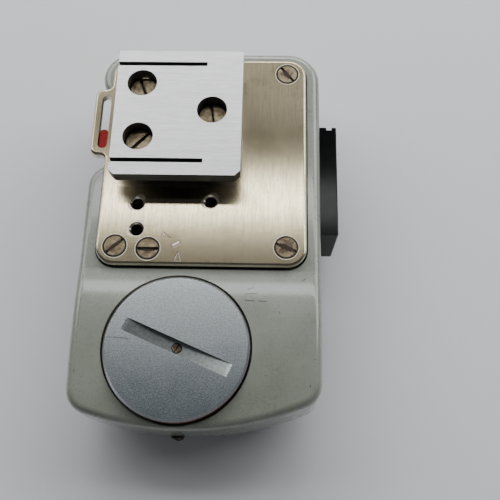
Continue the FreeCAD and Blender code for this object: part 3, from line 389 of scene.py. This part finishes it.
def stroke(points, width, z0, z1):
    """A closed line of that width through XY points, as one slab per run with pointed ends."""
    shapes = []
    for (ax, ay), (bx, by) in zip(points, points[1:] + points[:1]):
        length = math.dist((ax, ay), (bx, by))
        ux, uy = (bx - ax) / length * width / 2, (by - ay) / length * width / 2
        ring = [(ax - uy, ay + ux), (ax - ux, ay - uy), (ax + uy, ay - ux), (bx + uy, by - ux),
                (bx + ux, by + uy), (bx - uy, by + ux)]
        shapes.append(slab(ring, z0, z1))
    return merged(shapes)


def beside(place, degrees, along, across):
    """The point that far along and across a direction from a place."""
    turn = math.radians(degrees)
    return (place[0] + along * math.cos(turn) - across * math.sin(turn),
            place[1] + along * math.sin(turn) + across * math.cos(turn))


def oval(place, length, width, degrees, steps=20):
    """Outline of a round-ended bar."""
    points, half = [], (length - width) / 2
    for n in range(steps):
        angle = 2 * math.pi * n / steps
        end = half if math.cos(angle) > 0 else -half
        points.append(beside(place, degrees, math.cos(angle) * width / 2 + end, math.sin(angle) * width / 2))
    return points


def annulus(x, y, inner, outer, z0, z1, steps=48):
    """A flat ring with square edges."""
    vertices, faces = [], []
    for n in range(steps):
        c, d = math.cos(2 * math.pi * n / steps), math.sin(2 * math.pi * n / steps)
        corners = ((inner, z0), (outer, z0), (outer, z1), (inner, z1))
        vertices += [(x + r * c, y + r * d, z) for r, z in corners]
        here, there = 4 * n, 4 * ((n + 1) % steps)
        faces += [(here + k, there + k, there + (k + 1) % 4, here + (k + 1) % 4) for k in range(4)]
    return vertices, faces


def crescent(x, y, inner, outer, degrees, z0, z1, spread=38, steps=14):
    """Part of a ring, widest at that angle and pointed at its ends."""
    near, far = [], []
    for n in range(steps + 1):
        share = 2 * n / steps - 1
        angle, reach = math.radians(degrees + spread * share), 0.03 + (outer - inner) * (1 - share ** 2)
        near.append((x + inner * math.cos(angle), y + inner * math.sin(angle)))
        far.append((x + (inner + reach) * math.cos(angle), y + (inner + reach) * math.sin(angle)))
    return slab(near[::-1] + far, z0, z1)


def zero_marks():
    """Two arrow outlines and a nought pressed into the plate beside the zero screw."""
    top = PLATE_TOP
    outlines = [[(-6.05, -1.48), (-4.98, -2.40), (-6.24, -2.22)], oval(NOUGHT, 1.25, 0.5, 29),
                [(-4.00, -4.28), (-4.45, -5.45), (-3.63, -5.50)]]
    # Painted highlights beside each pressed line and inside the nought
    shapes = [stroke([(x + 0.07, y - 0.05) for x, y in line], 0.06, top - 0.02, top + 0.003)
              for line in outlines]
    shapes.append(slab(oval(NOUGHT, 1.02, 0.27, 29), top - 0.02, top + 0.002))
    piece("zero_mark_highlights", *merged(shapes), PAINTED_EDGE_HIGHLIGHT)
    shapes = [stroke(line, 0.07, top - 0.02, top + 0.005) for line in outlines]
    piece("zero_marks", *merged(shapes), MARK)


def hole_rings():
    """Dark gap round each screw head, soiling and painted shade, and painted highlights on the edges round
    heads and open holes.
    """
    heads, low, flush = PLATE_SCREWS + [ZERO_SCREW], PLATE_TOP - 0.10, PLATE_TOP + 0.002
    # Painted shade with soiling: a dark ring in the gap round each head
    dark = [annulus(x, y, 1.35, 1.555, low, PLATE_TOP + 0.024) for x, y in heads]
    piece("gap_grime_and_shade", *merged(dark), DIRT_AND_SHADE)
    # Painted highlights: rings round heads and holes, crescents on two sides of each hole
    light = [annulus(x, y, 1.59, 1.665, low, flush) for x, y in heads]
    light += [annulus(x, y, 0.98, 1.06, low, flush) for x, y in SPARE_HOLES]
    light += [crescent(x, y, 1.08, 1.34, angle, low, flush) for x, y in SPARE_HOLES for angle in (205, 62)]
    piece("painted_edge_highlights", *merged(light), PAINTED_EDGE_HIGHLIGHT)


def smear(place, degrees, half_length, offset, half_width, z):
    """A ragged patch of soiling along a screw slot."""
    steps, left, right = 18, [], []
    for n in range(steps + 1):
        along = -half_length + 2 * half_length * n / steps
        taper = math.sqrt(max(0.08, 1 - (along / half_length) ** 2))
        for side, row in ((1, left), (-1, right)):
            across = offset + side * half_width * taper * rng.uniform(0.55, 1.25)
            row.append(beside(place, degrees, along, across))
    return slab(right + left[::-1], z - 0.05, z)


def grime_and_shade_ridge(place, radius, top, height, degrees):
    """An uneven dark ridge on one slot's floor, a little narrower than the slot: soiling and painted shade.
    """
    floor, half_width, half_length = top - height * 0.5, radius * 0.125, radius * 0.93
    steps, left, right = 14, [], []
    for n in range(steps + 1):
        along = -half_length + 2 * half_length * n / steps
        for side, row in ((1, left), (-1, right)):
            across = side * half_width * rng.uniform(0.75, 1.0)
            row.append(beside(place, degrees, along, across))
    return slab(right + left[::-1], floor + 0.002, floor + height * 0.16)


def slot_dirt_and_shade():
    """Soiling and painted shade in the screw slots, and smears beside the ones that were chewed by a
    screwdriver.
    """
    head = PLATE_TOP + 0.02
    screws = [(place, 1.4, head, 0.74, angle) for place, angle in zip(PLATE_SCREWS, PLATE_SLOT_ANGLES)]
    screws += [(place, 1.12, FOOT_SCREW_TOP, 0.9, angle)
               for place, angle in zip(FOOT_SCREWS, FOOT_SLOT_ANGLES)]
    # Dark ridges on the slot floors: soiling and painted shade
    piece("slot_grime_and_shade", *merged([grime_and_shade_ridge(*screw) for screw in screws]), DIRT_AND_SHADE)
    sizes = [(0.9, 0.1, 0.28), (1.15, 0.0, 0.38), (1.15, 0.02, 0.26)]
    smears = [smear(place, angle, *size, head + 0.004)
              for place, angle, size in zip(PLATE_SCREWS, PLATE_SLOT_ANGLES, sizes)]
    piece("slot_smears", *merged(smears), SMEAR)
    zero = merged([grime_and_shade_ridge(ZERO_SCREW, 1.4, head, 0.74, 0),
                   smear(ZERO_SCREW, 0, 1.25, -0.20, 0.16, head + 0.004)])
    piece("zero_slot_grime_and_shade", *zero, DIRT_AND_SHADE, "zero_screw")


def lacquer_blob():
    """The hardened drip of sealing lacquer over the grub screw, knobbly and cracked."""
    low, high = [Vector(c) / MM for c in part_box("seal_lacquer")]
    middle, half = (low + high) / 2, (high - low) / 2
    rings, around = 10, 28
    vertices = [(middle.x, low.y + 0.01, middle.z)]
    for n in range(1, rings + 1):
        spread = n / rings * math.pi / 2
        for m in range(around):
            angle = 2 * math.pi * m / around
            lump = 1 - 0.34 * rng.random() * math.sin(spread) ** 2 - 0.12 * (1 + math.sin(3 * angle + 1.3))
            depth = min(1.0, 1 - math.cos(spread) * rng.uniform(0.72, 1.0))
            vertices.append((middle.x + half.x * math.sin(spread) * lump * math.cos(angle),
                             low.y + 2 * half.y * depth * 0.98 + 0.01,
                             middle.z + half.z * math.sin(spread) * lump * math.sin(angle)))
    faces = [(0, 1 + m, 1 + (m + 1) % around) for m in range(around)]
    for n in range(rings - 1):
        a, b = 1 + n * around, 1 + (n + 1) * around
        faces += [(a + m, b + m, b + (m + 1) % around, a + (m + 1) % around) for m in range(around)]
    last = 1 + (rings - 1) * around
    faces.append(tuple(last + m for m in range(around)))
    blob = piece("lacquer_blob", vertices, faces, MATERIALS["lacquer"])
    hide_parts("seal_lacquer")


def dome(x, y, z, radius, rise, steps):
    """A shallow dome that bulges towards +X."""
    vertices, faces = [(x + rise, y, z)], []
    for n in (1, 2, 3):
        share = n / 3
        vertices += [(x + rise * (1 - share ** 2), y + radius * share * math.cos(2 * math.pi * m / steps),
                      z + radius * share * math.sin(2 * math.pi * m / steps)) for m in range(steps)]
    faces += [(0, 1 + m, 1 + (m + 1) % steps) for m in range(steps)]
    for a in (1, 1 + steps):
        faces += [(a + m, a + steps + m, a + steps + (m + 1) % steps, a + (m + 1) % steps)
                  for m in range(steps)]
    faces.append(tuple(1 + 2 * steps + m for m in range(steps - 1, -1, -1)))
    return vertices, faces


def cell_lens():
    """The photocell's window: a clear pane with rows of small domes on its face."""
    low, high = [Vector(c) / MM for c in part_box("cell_window")]
    pitch, radius, rise, steps = 1.22, 0.60, 0.30, 12
    base, cut = high.x - rise - 0.02, 0.5
    outline = [(low.y, low.z + cut), (low.y + cut, low.z), (high.y - cut, low.z), (high.y, low.z + cut),
               (high.y, high.z - cut), (high.y - cut, high.z), (low.y + cut, high.z), (low.y, high.z - cut)]
    vertices = [(x, y, z) for x in (low.x, base) for y, z in outline]
    faces = [tuple(range(7, -1, -1)), tuple(range(8, 16))]
    faces += [(k, (k + 1) % 8, 8 + (k + 1) % 8, 8 + k) for k in range(8)]
    shapes = [(vertices, faces)]
    row, z = 0, low.z + 0.66
    while z < high.z - 0.6:
        y = low.y + 0.68 + (pitch / 2 if row % 2 else 0)
        while y < high.y - 0.6:
            shapes.append(dome(base - 0.01, y, z, radius, rise, steps))
            y += pitch
        row, z = row + 1, z + pitch * 0.78
    lens = piece("cell_lens", *merged(shapes), MATERIALS["cell_glass"])
    for polygon in lens.data.polygons[len(faces):]:
        polygon.use_smooth = True
    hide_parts("cell_window")


# ---- printing on the dial side, read from below --------------------------------------------------
def digits(text, size):
    """Vertices and faces of a line of figures in the XY plane, centred on the origin."""
    curve = bpy.data.curves.new("figures", "FONT")
    curve.body, curve.size, curve.resolution_u = text, size, 3
    curve.align_x, curve.align_y = "CENTER", "CENTER"
    holder = bpy.data.objects.new("figures", curve)
    mesh = bpy.data.meshes.new_from_object(holder)
    vertices = [tuple(v.co) for v in mesh.vertices]
    faces = [tuple(f.vertices) for f in mesh.polygons]
    bpy.data.objects.remove(holder)
    bpy.data.curves.remove(curve)
    bpy.data.meshes.remove(mesh)
    return vertices, faces


def from_below(centre, degrees, u, v, z):
    """A point u to the right and v above a centre, turned clockwise, all as seen from below."""
    turn = math.radians(degrees)
    return (centre[0] - (u * math.cos(turn) + v * math.sin(turn)),
            centre[1] + v * math.cos(turn) - u * math.sin(turn), z)


def printed(text, size, centre, radius, degrees, z):
    """Figures on a circle, tops outwards, facing -Z. Degrees run clockwise from +Y."""
    vertices, faces = digits(text, size)
    return [from_below(centre, degrees, u, v + radius, z) for u, v, _ in vertices], faces


def tick(centre, inner, outer, width, degrees, z):
    """A short radial bar facing -Z, on the same circle as printed()."""
    corners = [(-width / 2, inner), (width / 2, inner), (width / 2, outer), (-width / 2, outer)]
    return [from_below(centre, degrees, u, v, z) for u, v in corners], [(0, 1, 2, 3)]


def arc_band(centre, inner, outer, start, stop, z, steps=24):
    """A band along a circle, facing -Z."""
    angles = [math.radians(start + (stop - start) * n / steps) for n in range(steps + 1)]
    vertices = [(centre[0] - r * math.sin(a), centre[1] + r * math.cos(a), z)
                for a in angles for r in (inner, outer)]
    return vertices, [(2 * n, 2 * n + 2, 2 * n + 3, 2 * n + 1) for n in range(steps)]


def dial_printing():
    """Plain numbers and ticks: shutter ring, film disc, fixed ring and the scale behind the needle."""
    ring = [printed(text, 1.25, DIAL, 7.15, -150 + 27 * n, RING_PRINT) for n, text in
            enumerate(("1", "2", "4", "8", "15", "30", "60", "125", "250", "500"))]
    ring += [tick(DIAL, 7.95, 8.25, 0.12, -150 + 27 * n, RING_PRINT) for n in range(10)]
    ring.append(tick(DIAL, 6.35, 7.9, 0.45, 165, RING_PRINT))
    piece("ring_figures", *merged(ring), INK, "dial")
    disc = [printed(text, 1.05, DIAL, 4.75, -100 + 40 * n, FILM_PRINT) for n, text in
            enumerate(("12", "25", "50", "100", "200", "400"))]
    disc += [tick(DIAL, 5.5, 5.88, 0.10, -100 + 20 * n, FILM_PRINT) for n in range(11)]
    piece("film_figures", *merged(disc), INK, "film_dial")
    deck = [tick(DIAL, 8.7, 9.12, 0.12, 15 * n, DECK_PRINT) for n in range(24)]
    piece("deck_ticks", *merged(deck), INK)
    black = [arc_band(AXIS, 12.9, 12.98, -33, 33, SCALE_PRINT)]
    black += [tick(AXIS, 12.98, 13.9 if n % 2 == 0 else 13.5, 0.10, -30 + 5 * n, SCALE_PRINT)
              for n in range(13)]
    black += [printed(str(n + 4), 1.35, AXIS, 11.6, -30 + 10 * n, SCALE_PRINT) for n in range(7)]
    piece("scale_figures", *merged(black), INK)
    red = arc_band(AXIS, 14.1, 14.55, -30, 30, SCALE_PRINT)
    piece("scale_band", *red, MATERIALS["red_paint"])


zero_marks()
hole_rings()
slot_dirt_and_shade()
lacquer_blob()
cell_lens()
dial_printing()


# ---- floor, light and camera ---------------------------------------------------------------------
FLOOR = -2e-5                                 # just under the case, so that the two don't share a plane
MIDDLE = Vector((0, 0, 0.01))                 # the lights point here


def card(name, corners, colour):
    """A flat matt rectangle of the studio, which isn't part of the object."""
    mesh = bpy.data.meshes.new(name)
    mesh.from_pydata(corners, [], [(0, 1, 2, 3)])
    mesh.materials.append(plain(name + "_paint", colour, 0.0, 0.8))
    thing = bpy.data.objects.new(name, mesh)
    bpy.context.collection.objects.link(thing)


def softbox(name, place, size, power):
    """Rectangular area light aimed at the middle of the meter, in metres and watts."""
    data = bpy.data.lights.new(name, "AREA")
    data.shape = "RECTANGLE"
    data.size, data.size_y = size
    data.energy = power
    light = bpy.data.objects.new(name, data)
    light.location = place
    light.rotation_euler = (MIDDLE - Vector(place)).to_track_quat("-Z", "Y").to_euler()
    bpy.context.collection.objects.link(light)


def sky_point(distance, elevation, azimuth=0.0):
    """A point that far from the meter, above +Y, turned towards +X by azimuth."""
    high, sideways = math.radians(elevation), math.radians(azimuth)
    return (distance * math.cos(high) * math.sin(sideways), distance * math.cos(high) * math.cos(sideways),
            distance * math.sin(high))


def camera():
    """Camera above the underside, tilted towards the dial end, with a lens that suits a square frame."""
    tilt, yaw, roll, distance = -0.363, -0.028, -0.015, 0.090921
    turn = Matrix.Rotation(roll, 3, "Z") @ Matrix.Rotation(yaw, 3, "Y") @ Matrix.Rotation(tilt, 3, "X")
    turn.transpose()
    target = Vector((5.25, -3.90, 14.40)) * MM
    focal_px, frame_px = 713.944, 500
    data = bpy.data.cameras.new("camera")
    data.sensor_width, data.lens, data.clip_start = 36, 36 * focal_px / frame_px, 0.005
    view = bpy.data.objects.new("camera", data)
    view.matrix_world = Matrix.Translation(target + turn @ Vector((0, 0, distance))) @ turn.to_4x4()
    bpy.context.collection.objects.link(view)
    bpy.context.scene.camera = view


card("floor", [(x, y, FLOOR) for x, y in ((-1, -1), (1, -1), (1, 1), (-1, 1))], srgb(214, 215, 218))
world = bpy.data.worlds.new("room")
world.use_nodes = True
background = world.node_tree.nodes["Background"]
background.inputs["Color"].default_value = (0.80, 0.82, 0.85, 1)
background.inputs["Strength"].default_value = 0.13
bpy.context.scene.world = world
softbox("window_strip", sky_point(0.3, 65.5), (0.35, 0.0225), 0.22)
softbox("upper_wall", sky_point(0.45, 52), (0.5, 0.09), 0.075)
softbox("back_window", sky_point(0.45, 32), (0.35, 0.16), 1.35)
softbox("right_window", sky_point(0.45, 34, 55), (0.34, 0.22), 1.12)
softbox("left_window", sky_point(0.45, 34, -50), (0.34, 0.22), 0.85)
softbox("front_fill", sky_point(0.5, 24, 176), (0.5, 0.1), 0.045)
camera()
